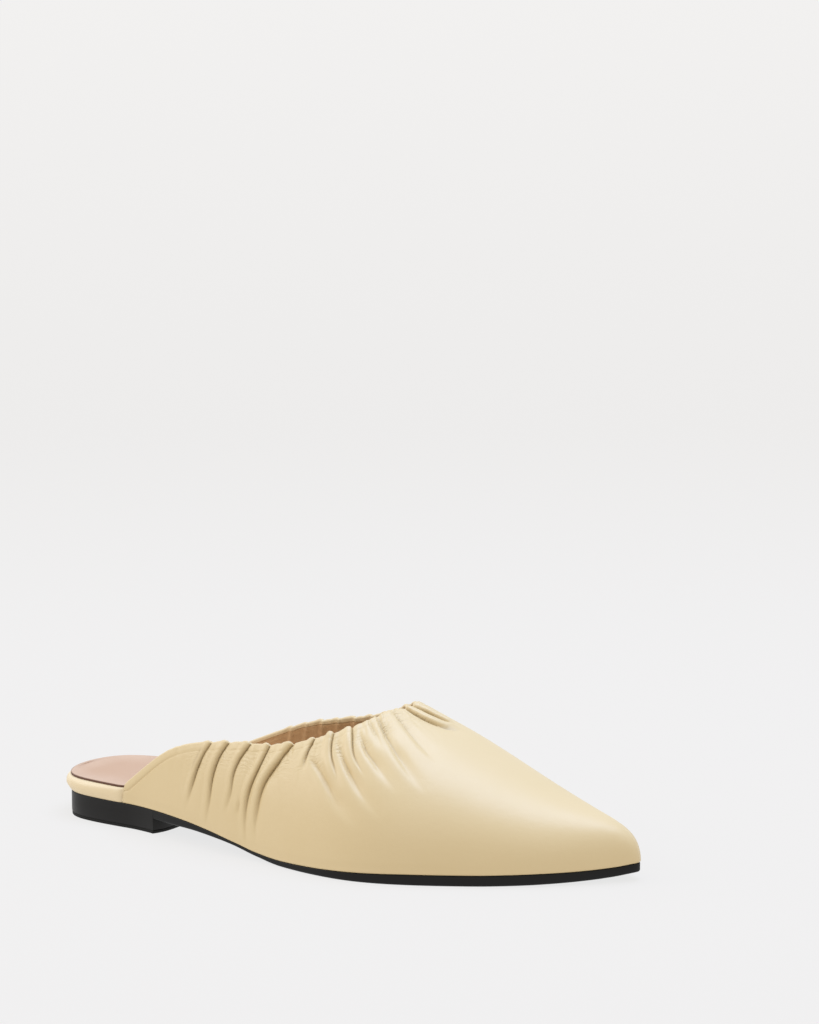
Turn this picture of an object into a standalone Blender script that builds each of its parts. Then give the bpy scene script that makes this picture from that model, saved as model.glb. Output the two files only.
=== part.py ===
"""A flat pointed mule for the right foot, in metres, toe towards +X, floor at z = 0.

Upper, footbed, sock and sole are all read from one last: a plan outline, a sole line and a
ridge line. A station is a share of the length, from 0 at the back of the heel to 1 at the
tip of the toe. Across the shoe, y is negative on the lateral side. A place around the last
runs from -1 at the lateral edge of the sole over 0 at the ridge to 1 at the medial edge.
"""

import math

import bmesh
import bpy
import numpy as np
from mathutils import Vector

COLLECTION = "mule_shoe"
CUTTERS = "mule_shoe_cutters"

# driving sizes of the last
LENGTH = 0.268
BALL_WIDTH = 0.0855
HEEL_WIDTH = 0.0560
INSTEP_RISE = 0.0665
SECTION_POWER = 0.87

# clearance between pieces that touch
FIT = 0.0003

# sole plate
HEEL_HEIGHT = 0.0108
SOLE_THICKNESS = 0.0043
TOE_SPRING = 0.0034
SOLE_INSET = 0.0003
SOLE_EDGE_ROUND = 0.0009
WAIST_BEVEL = 0.0100
WAIST_EDGE = 0.0011

# heel block and its top piece
HEEL_LENGTH = 0.0580
HEEL_BACK_TUCK = 0.0012
HEEL_BACK_REACH = 0.0100
BREAST_HOLLOW = 0.0024
BLOCK_STEP = 0.0002
TOP_PIECE = 0.0014
TOP_PIECE_INSET = 0.0004

# footbed and sock
BED_HEEL = 0.0068
BED_FOREPART = 0.0032
BED_SLACK = 0.0001
RAND_BULGE = 0.0010
RAND_SHOULDER = 0.0020
SOCK_THICKNESS = 0.0009
SOCK_SLACK = 0.0007

# upper
UPPER_WALL = 0.0015
UPPER_FULLNESS = 0.0006
LOOSE_ABOVE_BED = 0.0080
TOE_ROOM = 0.0010
FOLD_DEPTH = 0.0016
FOLD_WIDTH = 0.0042

# sampling of the surfaces
OUTLINE_STEPS = 50
HEEL_STEPS = 26
BREAST_STEPS = 8
STRIPS_ACROSS = 4
UPPER_RIBS = 117
UPPER_ROWS = 13
FOLD_POINTS = 9
FINE_STEPS = 400

# reach of the outline from the axis, as shares of the local width
PLAN = {
    "station": (0, .033, .081, .161, .242, .355, .465, .557, .630, .703, .777, .850, .923, .971, 1),
    "lateral": (0, .377, .470, .517, .530, .510, .582, .652, .667, .615, .517, .397, .241, .109, 0),
    "medial": (0, .377, .465, .482, .396, .267, .253, .293, .339, .368, .351, .282, .161, .080, 0),
}
# stations between which the local width goes from the heel's to the ball's
WAIST = (.16, .40)
# lift of the sole's underside as a share of the heel seat, then of the toe spring
UNDERSIDE = {
    "station": (0, .073, .227, .289, .344, .399, .447, .476, .80, .86, .905, .949, .975, 1),
    "heel": (1, 1, .91, .81, .61, .31, .04, 0, 0, 0, 0, 0, 0, 0),
    "toe": (0, 0, 0, 0, 0, 0, 0, 0, 0, .09, .24, .47, .70, 1),
}
# thickness of the plate as a share of SOLE_THICKNESS, and how far its edge is feathered
# towards WAIST_EDGE
PLATE = {
    "station": (0, .227, .344, .399, .447, .498, .546, .612, .670, .722, .861, .949, 1),
    "thickness": (.93, .92, .80, .75, .69, .57, .63, .79, .92, 1, 1.02, .93, .86),
    "feather": (0, 0, .58, .95, .82, .15, 0, 0, 0, 0, 0, 0, 0),
}
# rise of the ridge over the sole's edge as a share of INSTEP_RISE, and the ridge's shift to
# the medial side as a share of BALL_WIDTH
RIDGE = {
    "station": (0, .22, .366, .502, .593, .641, .703, .777, .850, .923, .960, .985, 1),
    "rise": (.99, 1.02, 1.035, 1.002, .905, .813, .687, .545, .414, .302, .240, .165, 0),
    "shift": (.023, .023, .023, .023, .017, .023, .029, .029, .023, .011, .006, .002, 0),
}
# share of the footbed's extra height at the heel that is left at each station
BED = {
    "station": (0, .15, .26, .36, .48, .60, 1),
    "heel": (1, .97, .78, .45, .16, .02, 0),
}
# outside of the rand: share of the footbed's height, share of RAND_BULGE outwards and share
# of RAND_SHOULDER inwards
RAND = {
    "height": (0, .38, .70, .88, .985, 1),
    "bulge": (0, .55, 1, .62, 0, 0),
    "shoulder": (0, 0, 0, 0, .55, 1),
}
# where a piece goes from showing around the heel to lying inside the upper
RAND_END = (.105, .141)
# stations between which the toe's extra room opens
TOE_ROOM_ALONG = (.92, 1)
# edge of the collar from the lateral back end over the throat to the medial back end
COLLAR = {
    "station": (.166, .205, .256, .333, .418, .498, .553, .590, .608, .615, .608, .583, .542,
                .469, .370, .300, .245, .200),
    "around": (-.94, -.86, -.77, -.69, -.62, -.54, -.43, -.29, -.10, .03, .15, .31, .46,
               .57, .70, .80, .87, .94),
}
BACK_END = {"lateral": .153, "medial": .188}
# share of the way along the sole's edge, and along the collar, from a back end to the toe
FAN = {
    "edge": (0, .20, .40, .60, .80, 1),
    "collar": (0, .33, .60, .79, .92, 1),
}
# width of the stretch at the toe whose rows crowd towards the sole, as a share of the edge
TOE_CROWD = .30
# stations between which the upper's fullness fades out to the toe
FULLNESS_FADE = (.70, .88)
# gathers of the upper: station and place around of the two ends, sideways bow of the trough
# as a share of its length, depth and width as shares of FOLD_DEPTH and FOLD_WIDTH
FOLDS = {
    "station": (.341, .377, .418, .454, .498, .535, .560, .580, .595, .598, .608, .612,
                .360, .420, .480, .535, .575),
    "around": (-.69, -.65, -.62, -.59, -.54, -.49, -.43, -.37, -.30, -.23, -.14, -.07,
               .71, .64, .57, .47, .34),
    "end_station": (.304, .346, .388, .427, .447, .527, .600, .650, .680, .695, .680, .700,
                    .345, .405, .470, .575, .645),
    "end_around": (-.90, -.95, -.90, -.95, -.92, -.62, -.68, -.64, -.53, -.43, -.27, -.05,
                   .92, .94, .88, .72, .50),
    "bow": (.06, .08, .06, .06, -.06, 0, .10, .05, -.05, -.04, -.03, .06,
            -.05, -.05, 0, .06, .05),
    "depth": (.6, .9, .8, 1, 1, .5, .8, .9, 1, .8, .7, .6, .7, .8, .8, .8, .8),
    "width": (.8, 1, .9, 1.1, 1.1, .6, .8, 1, 1, .9, .8, .8, 1, 1, 1, 1, 1),
}
# height of the two soft shoulders beside a trough, as a share of its depth, and the trough's
# widening and flattening towards its far end
FOLD_SHOULDER = .30
FOLD_WIDENING = .50
FOLD_FLATTENING = .55

# colour as linear red, green and blue, then roughness
BUTTER_LEATHER = ((.72, .58, .36), .42)
PINK_LEATHER = ((.70, .50, .42), .55)
BLACK_SOLE = ((.025, .023, .021), .38)


def bent_line(knots, values):
    """Natural cubic through the rows."""
    knots = np.asarray(knots, float)
    values = np.asarray(values, float)
    step = np.diff(knots)
    count = len(knots)
    system = np.eye(count)
    right = np.zeros(count)
    for i in range(1, count - 1):
        system[i, i - 1:i + 2] = step[i - 1], 2 * (step[i - 1] + step[i]), step[i]
        right[i] = 6 * ((values[i + 1] - values[i]) / step[i] - (values[i] - values[i - 1]) / step[i - 1])
    bend = np.linalg.solve(system, right)

    def at(x):
        x = np.clip(np.asarray(x, float), knots[0], knots[-1])
        i = np.clip(np.searchsorted(knots, x) - 1, 0, count - 2)
        before = x - knots[i]
        after = knots[i + 1] - x
        cubic = (bend[i] * after ** 3 + bend[i + 1] * before ** 3) / (6 * step[i])
        start = (values[i] / step[i] - bend[i] * step[i] / 6) * after
        end = (values[i + 1] / step[i] - bend[i + 1] * step[i] / 6) * before
        return cubic + start + end
    return at


def level_line(knots, values):
    """Cubic through the rows that keeps level stretches level and never overshoots."""
    knots = np.asarray(knots, float)
    values = np.asarray(values, float)
    step = np.diff(knots)
    slope = np.diff(values) / step
    tangent = np.zeros(len(knots))
    same = slope[1:] * slope[:-1] > 0
    tangent[1:-1][same] = 2 / (1 / slope[1:][same] + 1 / slope[:-1][same])

    def at(x):
        x = np.clip(np.asarray(x, float), knots[0], knots[-1])
        i = np.clip(np.searchsorted(knots, x) - 1, 0, len(step) - 1)
        t = (x - knots[i]) / step[i]
        start = values[i] * (1 + 2 * t) * (1 - t) ** 2 + tangent[i] * step[i] * t * (1 - t) ** 2
        end = values[i + 1] * t * t * (3 - 2 * t) + tangent[i + 1] * step[i] * t * t * (t - 1)
        return start + end
    return at


def turn(station):
    """Station as an angle, so that a line through the rows ends in a round nose."""
    return np.arccos(np.clip(1 - 2 * np.asarray(station, float), -1, 1))


def smooth_step(value, start, end):
    t = np.clip((value - start) / (end - start), 0, 1)
    return t * t * (3 - 2 * t)


lateral_share = bent_line(turn(PLAN["station"]), PLAN["lateral"])
medial_share = bent_line(turn(PLAN["station"]), PLAN["medial"])
rise_share = bent_line(turn(RIDGE["station"]), RIDGE["rise"])
shift_share = bent_line(turn(RIDGE["station"]), RIDGE["shift"])
heel_lift = level_line(UNDERSIDE["station"], UNDERSIDE["heel"])
toe_lift = level_line(UNDERSIDE["station"], UNDERSIDE["toe"])
plate_share = level_line(PLATE["station"], PLATE["thickness"])
feather_share = level_line(PLATE["station"], PLATE["feather"])
bed_share = level_line(BED["station"], BED["heel"])


def local_width(station):
    """Heel width at the back and ball width from the waist on."""
    return HEEL_WIDTH + (BALL_WIDTH - HEEL_WIDTH) * smooth_step(station, *WAIST)


def reach(station, side):
    """Distance of the outline from the axis on the side with the sign of side."""
    share = np.where(np.asarray(side) < 0, lateral_share(turn(station)), medial_share(turn(station)))
    return np.maximum(share, 0) * local_width(station)


def plate_thickness(station):
    return plate_share(station) * SOLE_THICKNESS


def underside(station):
    """Height of the plate's lower face: heel seat, waist, flat forepart and toe spring."""
    seat = HEEL_HEIGHT - plate_thickness(0)
    return heel_lift(station) * seat + toe_lift(station) * TOE_SPRING


def sole_top(station):
    """Height of the sole's upper face, which carries the upper and the footbed."""
    return underside(station) + plate_thickness(station)


def bed_bottom(station):
    return sole_top(station) + FIT


def bed_top(station):
    return bed_bottom(station) + BED_FOREPART + bed_share(station) * (BED_HEEL - BED_FOREPART)


def sock_bottom(station):
    return bed_top(station) + FIT


def sock_top(station):
    return sock_bottom(station) + SOCK_THICKNESS


def last_point(station, around):
    """Point of the last's skin."""
    angle = np.abs(around) * math.pi / 2
    side = np.sign(around) * reach(station, around)
    ridge_y = shift_share(turn(station)) * BALL_WIDTH
    y = ridge_y + (side - ridge_y) * np.sin(angle) ** SECTION_POWER
    rise = np.maximum(rise_share(turn(station)), 0) * INSTEP_RISE
    z = bed_bottom(station) + rise * np.clip(np.cos(angle), 0, 1) ** SECTION_POWER
    return np.stack([station * LENGTH + 0 * y, y, z], axis=-1)


def outline_angles(steps):
    return np.linspace(0, 2 * math.pi, 2 * steps, endpoint=False)


def outline_stations(steps=OUTLINE_STEPS):
    return (1 - np.cos(outline_angles(steps))) / 2


def outline(inset, steps=OUTLINE_STEPS):
    """Closed outline seen from above, from the back over the lateral side to the toe and
    back over the medial side. The inset is a number or one value for each point."""
    angle = outline_angles(steps)

    def edge(a):
        station = (1 - np.cos(a)) / 2
        side = -np.sign(np.sin(a))
        return np.stack([station * LENGTH, side * reach(station, side)], axis=-1)
    nudge = math.pi / FINE_STEPS / 4
    along = edge(angle + nudge) - edge(angle - nudge)
    along /= np.linalg.norm(along, axis=1, keepdims=True)
    inward = np.stack([-along[:, 1], along[:, 0]], axis=-1)
    return edge(angle) + inward * np.reshape(inset, (-1, 1))


def ring_at(inset, height):
    """Outline ring with an inset and a height for each of its stations."""
    flat = outline(inset)
    return np.column_stack([flat, height + 0 * flat[:, 0]])


def sole_inset(station):
    """Inset of the sole's side, which is tucked under the rand at the back of the heel."""
    return SOLE_INSET + HEEL_BACK_TUCK * np.exp(-(station * LENGTH / HEEL_BACK_REACH) ** 2)


def tucked_inset(open_inset, slack):
    """Inset of a piece whose edge shows around the heel and lies inside the upper ahead of it."""
    station = outline_stations()
    covered = smooth_step(station, *RAND_END)
    inside = UPPER_WALL + FIT + slack + TOE_ROOM * smooth_step(station, *TOE_ROOM_ALONG)
    return open_inset + (inside - open_inset) * covered


def plain_material(name, colour, roughness):
    material = bpy.data.materials.new(name)
    material.use_nodes = True
    surface = material.node_tree.nodes["Principled BSDF"]
    surface.inputs["Base Color"].default_value = (*colour, 1)
    surface.inputs["Roughness"].default_value = roughness
    surface.inputs["Metallic"].default_value = 0
    return material


def add_mesh(name, points, faces, material):
    mesh = bpy.data.meshes.new(name)
    mesh.from_pydata([tuple(p) for p in points], [], faces)
    mesh.update()
    mesh.shade_smooth()
    mesh.set_sharp_from_angle(angle=math.radians(40))
    item = bpy.data.objects.new(name, mesh)
    item.data.materials.append(material)
    bpy.data.collections[COLLECTION].objects.link(item)
    return item


def strip_faces(first, count, base, facing_down):
    """Faces of the strips that cross an outline ring. The ring starts at vertex first, and
    the points between its two sides at vertex base."""
    half = count // 2
    inner = STRIPS_ACROSS - 1

    def index(row, column):
        if column == 0 or row in (0, half):
            return first + row
        if column == STRIPS_ACROSS:
            return first + (count - row) % count
        return base + (row - 1) * inner + column - 1
    faces = []
    for row in range(half):
        for column in range(STRIPS_ACROSS):
            corners = [index(row, column), index(row + 1, column),
                       index(row + 1, column + 1), index(row, column + 1)]
            corners = list(dict.fromkeys(corners))
            if len(corners) > 2:
                faces.append(corners[::-1] if facing_down else corners)
    return faces


def strip_points(ring, height):
    """Points between the two sides of a ring, with their heights from a function."""
    half = len(ring) // 2
    rows = []
    for row in range(1, half):
        share = np.arange(1, STRIPS_ACROSS)[:, None] / STRIPS_ACROSS
        across = ring[row] + (ring[-row] - ring[row]) * share
        across[:, 2] = height(across[:, 0] / LENGTH)
        rows.append(across)
    return np.concatenate(rows)


def add_slab(name, rings, bottom, top, material):
    """Solid between a bottom and a top face, with its edge given as outline rings."""
    count = len(rings[0])
    edge = np.concatenate(rings)
    faces = []
    for level in range(len(rings) - 1):
        for i in range(count):
            j = (i + 1) % count
            low = level * count
            faces.append([low + i, low + j, low + count + j, low + count + i])
    low_points = strip_points(rings[0], bottom)
    high_points = strip_points(rings[-1], top)
    faces += strip_faces(0, count, len(edge), True)
    faces += strip_faces((len(rings) - 1) * count, count, len(edge) + len(low_points), False)
    return add_mesh(name, np.concatenate([edge, low_points, high_points]), faces, material)


def add_prism(name, flat, low, high, material):
    """Upright block of a flat outline."""
    mesh = bmesh.new()
    face = mesh.faces.new([mesh.verts.new((x, y, low)) for x, y in flat])
    lifted = bmesh.ops.extrude_face_region(mesh, geom=[face])
    moved = [v for v in lifted["geom"] if isinstance(v, bmesh.types.BMVert)]
    bmesh.ops.translate(mesh, verts=moved, vec=Vector((0, 0, high - low)))
    bmesh.ops.recalc_face_normals(mesh, faces=mesh.faces)
    data = bpy.data.meshes.new(name)
    mesh.to_mesh(data)
    mesh.free()
    item = bpy.data.objects.new(name, data)
    item.data.materials.append(material)
    bpy.data.collections[COLLECTION].objects.link(item)
    return item


def make_plate(material):
    """Sole plate, feathered thin at the waist, without the heel block."""
    station = outline_stations()
    thickness = plate_thickness(station)
    feather = feather_share(station)
    edge = thickness + (WAIST_EDGE - thickness) * feather
    top = sole_top(station)
    side = sole_inset(station)
    corner = np.minimum(SOLE_EDGE_ROUND, edge / 3)
    rings = [
        ring_at(side + corner + feather * WAIST_BEVEL, underside(station)),
        ring_at(side + corner / 3, top - edge + corner / 3),
        ring_at(side, top - edge + corner),
        ring_at(side, top - corner / 3),
        ring_at(side + corner / 3, top),
    ]
    return add_slab("outsole", rings, underside, sole_top, material)


def heel_outline(inset):
    """Outline of the heel block, with its breast hollowed towards the back."""
    angle = math.acos(1 - 2 * HEEL_LENGTH / LENGTH)
    way = np.linspace(-angle, angle, 2 * HEEL_STEPS + 1)
    station = (1 - np.cos(way)) / 2
    side = -np.sign(way)
    flat = np.stack([station * LENGTH, side * reach(station, side)], axis=-1)
    along = np.gradient(flat, axis=0)
    along /= np.linalg.norm(along, axis=1, keepdims=True)
    inward = np.stack([-along[:, 1], along[:, 0]], axis=-1)
    flat = flat + inward * (sole_inset(station) + inset)[:, None]
    flat[0, 0] = flat[-1, 0] = HEEL_LENGTH - inset
    share = np.arange(1, BREAST_STEPS) / BREAST_STEPS
    breast_y = flat[-1, 1] + (flat[0, 1] - flat[-1, 1]) * share
    breast_x = flat[0, 0] - BREAST_HOLLOW * 4 * share * (1 - share)
    return np.vstack([flat, np.column_stack([breast_x, breast_y])])


def make_outsole(material):
    plate = make_plate(material)
    top = HEEL_HEIGHT - plate_thickness(0) / 2
    block = add_prism("heel_block", heel_outline(BLOCK_STEP), TOP_PIECE + FIT, top, material)
    bpy.data.collections[COLLECTION].objects.unlink(block)
    bpy.data.collections[CUTTERS].objects.link(block)
    block.hide_render = True
    block.display_type = "WIRE"
    join = plate.modifiers.new("heel block", "BOOLEAN")
    join.operation = "UNION"
    join.object = block


def make_top_piece(material):
    add_prism("heel_top_piece", heel_outline(BLOCK_STEP + TOP_PIECE_INSET), 0, TOP_PIECE, material)


def make_footbed(material):
    """Insole board in its leather cover, whose edge is the rand around the heel."""
    station = outline_stations()
    low = bed_bottom(station)
    height = bed_top(station) - low
    rings = []
    for share, bulge, shoulder in zip(*(RAND[column] for column in RAND)):
        foot = sole_inset(station) * (1 - min(bulge * 2, 1)) * (1 - min(shoulder * 2, 1))
        open_inset = foot - RAND_BULGE * bulge + RAND_SHOULDER * shoulder
        rings.append(ring_at(tucked_inset(open_inset, BED_SLACK), low + height * share))
    add_slab("footbed", rings, bed_bottom, bed_top, material)


def make_sock(material):
    """Thin sock that lies on the footbed from the heel to the toe."""
    station = outline_stations()
    rim = tucked_inset(RAND_SHOULDER, SOCK_SLACK)
    rings = [ring_at(rim, sock_bottom(station)), ring_at(rim, sock_top(station))]
    add_slab("insole_sock", rings, sock_bottom, sock_top, material)


def along_share(station, around):
    """Share of the way along a line of the last's skin, one value for each of its points."""
    points = last_point(np.asarray(station, float), np.asarray(around, float))
    walked = np.concatenate([[0], np.cumsum(np.linalg.norm(np.diff(points, axis=0), axis=1))])
    return walked / walked[-1]


def edge_line(back_end, side):
    """Sole's edge on one side as station against the share of its length to the toe."""
    station = back_end + (1 - back_end) * np.sin(np.linspace(0, math.pi / 2, FINE_STEPS))
    walked = along_share(station, side + 0 * station)
    return lambda share: np.interp(share, walked, station)


def collar_lines():
    """Station and place around of the collar, from -1 at its lateral end to 1."""
    share = along_share(COLLAR["station"], COLLAR["around"])
    place = bent_line(share, COLLAR["station"])
    turned = bent_line(share, COLLAR["around"])
    fine = np.linspace(0, 1, 2 * FINE_STEPS + 1)
    middle = fine[np.argmin(np.abs(turned(fine)))]

    def share_of(way):
        return np.where(way < 0, middle * (1 + way), middle + (1 - middle) * way)
    return lambda way: place(share_of(way)), lambda way: turned(share_of(way))


def upper_grid(ribs, rows):
    """Station and place around of each point of the upper, rib by rib, sole to collar."""
    fan = level_line(FAN["edge"], FAN["collar"])
    lateral_edge = edge_line(BACK_END["lateral"], -1)
    medial_edge = edge_line(BACK_END["medial"], 1)
    collar_station, collar_around = collar_lines()
    edge_way = np.linspace(-1, 1, ribs)
    to_back = np.abs(edge_way)
    foot = np.where(edge_way < 0, lateral_edge(1 - to_back), medial_edge(1 - to_back))
    head_way = np.sign(edge_way) * (1 - fan(1 - to_back))
    head = collar_station(head_way)

    def width(station):
        return reach(station, -1) + reach(station, 1)
    crowd = 1 + np.exp(-(edge_way / TOE_CROWD) ** 2)
    climb = np.linspace(0, 1, rows)[None, :] ** crowd[:, None]
    station = foot[:, None] + (head - foot)[:, None] * climb
    foot_offset = np.sign(edge_way) * width(foot)
    head_offset = collar_around(head_way) * width(head)
    offset = foot_offset[:, None] + (head_offset - foot_offset)[:, None] * climb
    around = offset / np.maximum(width(station), FIT)
    around[:, 0] = np.sign(edge_way)
    return station, np.clip(around, -1, 1)


def fold_relief(station, around):
    """Height of the gathers: a soft trough with low shoulders along each fold."""
    girth = (INSTEP_RISE + BALL_WIDTH / 2) * .76
    relief = np.zeros(np.shape(station))
    way = np.linspace(0, 1, FOLD_POINTS)
    rows = zip(*(FOLDS[column] for column in FOLDS))
    for start, turned, end, end_turned, bow, depth, width in rows:
        x = (start + (end - start) * way) * LENGTH
        y = (turned + (end_turned - turned) * way) * girth
        aside = 4 * bow * way * (1 - way)
        x, y = x + aside * (y[-1] - y[0]), y - aside * (x[-1] - x[0])
        away = np.hypot(station[..., None] * LENGTH - x, around[..., None] * girth - y)
        at = way[np.argmin(away, axis=-1)]
        spread = width * FOLD_WIDTH * (1 + FOLD_WIDENING * at)
        gap = away.min(axis=-1) / spread
        trough = (1 + FOLD_SHOULDER) * np.exp(-gap ** 2) - FOLD_SHOULDER * np.exp(-(gap / 2) ** 2)
        relief -= depth * FOLD_DEPTH * (1 - FOLD_FLATTENING * at) * trough
    return relief


def make_upper(material):
    """Hollow gathered upper, open at the collar and underneath."""
    station, around = upper_grid(UPPER_RIBS, UPPER_ROWS)
    points = last_point(station, around)
    outward = np.cross(np.gradient(points, axis=0), np.gradient(points, axis=1))
    outward /= np.maximum(np.linalg.norm(outward, axis=-1, keepdims=True), FIT ** 3)
    loose = smooth_step(points[..., 2] - bed_top(station), 0, LOOSE_ABOVE_BED)
    full = UPPER_FULLNESS * (1 - smooth_step(station, *FULLNESS_FADE))
    points = points + outward * (loose * (full + fold_relief(station, around)))[..., None]
    faces = []
    for rib in range(UPPER_RIBS - 1):
        for row in range(UPPER_ROWS - 1):
            corner = rib * UPPER_ROWS + row
            faces.append([corner, corner + UPPER_ROWS, corner + UPPER_ROWS + 1, corner + 1])
    item = add_mesh("upper", points.reshape(-1, 3), faces, material)
    wall = item.modifiers.new("wall", "SOLIDIFY")
    wall.thickness = UPPER_WALL
    wall.offset = -1
    wall.use_rim = True


def centre_over_origin():
    """Move the shoe so that the origin is under the middle of its bounding box."""
    items = bpy.data.collections[COLLECTION].objects
    bpy.context.view_layer.update()
    view = bpy.context.evaluated_depsgraph_get()
    corners = np.array([corner[:] for item in items for corner in item.evaluated_get(view).bound_box])
    middle = (corners.min(axis=0) + corners.max(axis=0)) / 2
    for item in (*items, *bpy.data.collections[CUTTERS].objects):
        item.location = (-middle[0], -middle[1], 0)


def main():
    for item in list(bpy.data.objects):
        bpy.data.objects.remove(item)
    for name in (COLLECTION, CUTTERS):
        bpy.context.scene.collection.children.link(bpy.data.collections.new(name))
    butter = plain_material("butter leather", *BUTTER_LEATHER)
    pink = plain_material("pink sock leather", *PINK_LEATHER)
    black = plain_material("black sole", *BLACK_SOLE)
    make_outsole(black)
    make_top_piece(black)
    make_footbed(butter)
    make_sock(pink)
    make_upper(butter)
    centre_over_origin()


main()
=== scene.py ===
from math import asin, atan2, cos, pi, sin

import bpy
import numpy as np
from mathutils import Matrix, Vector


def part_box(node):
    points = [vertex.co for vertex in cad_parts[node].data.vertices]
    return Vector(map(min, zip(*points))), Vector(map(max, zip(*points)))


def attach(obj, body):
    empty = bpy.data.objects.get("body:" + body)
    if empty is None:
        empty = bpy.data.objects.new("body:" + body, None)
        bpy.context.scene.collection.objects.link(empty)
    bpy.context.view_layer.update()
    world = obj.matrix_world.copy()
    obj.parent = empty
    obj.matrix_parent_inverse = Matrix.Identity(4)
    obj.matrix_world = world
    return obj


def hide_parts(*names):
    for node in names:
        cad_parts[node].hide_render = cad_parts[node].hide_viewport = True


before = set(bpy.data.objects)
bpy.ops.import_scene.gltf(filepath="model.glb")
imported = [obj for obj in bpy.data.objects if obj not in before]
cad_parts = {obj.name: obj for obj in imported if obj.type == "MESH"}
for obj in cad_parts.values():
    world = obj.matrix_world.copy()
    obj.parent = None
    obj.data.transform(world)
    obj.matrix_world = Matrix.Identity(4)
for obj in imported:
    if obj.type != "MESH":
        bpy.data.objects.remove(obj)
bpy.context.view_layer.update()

# Butter yellow pointed mule for the right foot, seen from its lateral side.
# Lengths are in metres. A station is a share of the shoe's length from the back of the heel,
# and "around" runs from -1 at the lateral edge of the sole over 0 at the ridge to 1.

print("stage: frame loaded")

mm = 0.001

last = {
    "length": 0.268,
    "ballWidth": 0.0855,
    "heelWidth": 0.0560,
    "instepRise": 0.0665,  # ridge over the sole at the instep
    "sectionPower": 0.87,  # below 1 the sections are fuller than an ellipse
    "heelHeight": 0.0108,  # top of the plate at the heel seat
    "soleThickness": 0.0043,
    "toeSpring": 0.0034,
    "soleInset": 0.0003,  # the sole stands back from the last's edge
    "backTuck": 0.0012,  # and further at the back of the heel, within backReach
    "backReach": 0.0100,
    "bedHeel": 0.0061,  # thickness of the footbed at the heel and in the forepart
    "bedForepart": 0.0032,
    "fit": 0.0003,  # play between two parts
    "waist": (.16, .40),  # stations between which heel width becomes ball width
}
plan = {
    "station": (0, .033, .081, .161, .242, .355, .465, .557, .630, .703, .777, .850, .923, .971, 1),
    "lateral": (0, .377, .470, .517, .530, .510, .582, .652, .667, .615, .517, .397, .241, .109, 0),
    "medial": (0, .377, .465, .482, .396, .267, .253, .293, .339, .368, .351, .282, .161, .080, 0),
}
soleLine = {
    "station": (0, .073, .227, .289, .344, .399, .447, .476, .80, .86, .905, .949, .975, 1),
    "heel": (1, 1, .91, .81, .61, .31, .04, 0, 0, 0, 0, 0, 0, 0),
    "toe": (0, 0, 0, 0, 0, 0, 0, 0, 0, .09, .24, .47, .70, 1),
}
plate = {
    "station": (0, .227, .344, .399, .447, .498, .546, .612, .670, .722, .861, .949, 1),
    "thickness": (.93, .92, .80, .75, .69, .57, .63, .79, .92, 1, 1.02, .93, .86),
    "feather": (0, 0, .58, .95, .82, .15, 0, 0, 0, 0, 0, 0, 0),
}
ridge = {
    "station": (0, .22, .366, .502, .593, .641, .703, .777, .850, .923, .960, .985, 1),
    "rise": (.99, 1.02, 1.035, .997, .890, .805, .687, .545, .414, .302, .240, .165, 0),
    "shift": (.023, .023, .023, .023, .017, .023, .029, .029, .023, .011, .006, .002, 0),
}
bed = {
    "station": (0, .15, .26, .36, .48, .60, 1),
    "heel": (1, .97, .78, .45, .16, .02, 0),
}
collar = {
    "station": (.160, .203, .256, .333, .418, .498, .553, .590, .608, .615, .608, .583, .542,
                .469, .370, .300, .245, .200),
    "around": (-.94, -.86, -.77, -.69, -.62, -.54, -.43, -.29, -.10, .03, .15, .31, .46,
               .57, .70, .80, .87, .94),
}


# Natural cubic through the rows: the bend at each row comes from a three-term system.
def bentLine(knots, values):
    knots = np.asarray(knots, float)
    values = np.asarray(values, float)
    gap = np.diff(knots)
    count = len(knots)
    row = np.arange(1, count - 1)
    system = np.eye(count)
    system[row, row - 1] = gap[:-1]
    system[row, row] = 2 * (gap[:-1] + gap[1:])
    system[row, row + 1] = gap[1:]
    right = np.zeros(count)
    right[1:-1] = 6 * np.diff(np.diff(values) / gap)
    bend = np.linalg.solve(system, right)

    def at(x):
        x = np.clip(np.asarray(x, float), knots[0], knots[-1])
        i = np.clip(np.searchsorted(knots, x) - 1, 0, count - 2)
        before, after = x - knots[i], knots[i + 1] - x
        cubic = (bend[i] * after ** 3 + bend[i + 1] * before ** 3) / (6 * gap[i])
        start = (values[i] / gap[i] - bend[i] * gap[i] / 6) * after
        end = (values[i + 1] / gap[i] - bend[i + 1] * gap[i] / 6) * before
        return cubic + start + end
    return at


# Hermite cubic whose tangents are harmonic means, so that level stretches stay level.
def levelLine(knots, values):
    knots = np.asarray(knots, float)
    values = np.asarray(values, float)
    gap = np.diff(knots)
    slope = np.diff(values) / gap
    tangent = np.zeros(len(knots))
    same = slope[1:] * slope[:-1] > 0
    tangent[1:-1][same] = 2 / (1 / slope[1:][same] + 1 / slope[:-1][same])

    def at(x):
        x = np.clip(np.asarray(x, float), knots[0], knots[-1])
        i = np.clip(np.searchsorted(knots, x) - 1, 0, len(gap) - 1)
        t = (x - knots[i]) / gap[i]
        start = values[i] * (1 + 2 * t) * (1 - t) ** 2 + tangent[i] * gap[i] * t * (1 - t) ** 2
        end = values[i + 1] * t * t * (3 - 2 * t) + tangent[i + 1] * gap[i] * t * t * (t - 1)
        return start + end
    return at


# Station as an angle from 0 to pi, so that a line through the rows ends in a round nose.
def turned(station):
    return np.arccos(np.clip(1 - 2 * np.asarray(station, float), -1, 1))


# 0 before start, 1 after end, and 3t^2 - 2t^3 between.
def smoothStep(value, start, end):
    t = np.clip((value - start) / (end - start), 0, 1)
    return t * t * (3 - 2 * t)


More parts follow.
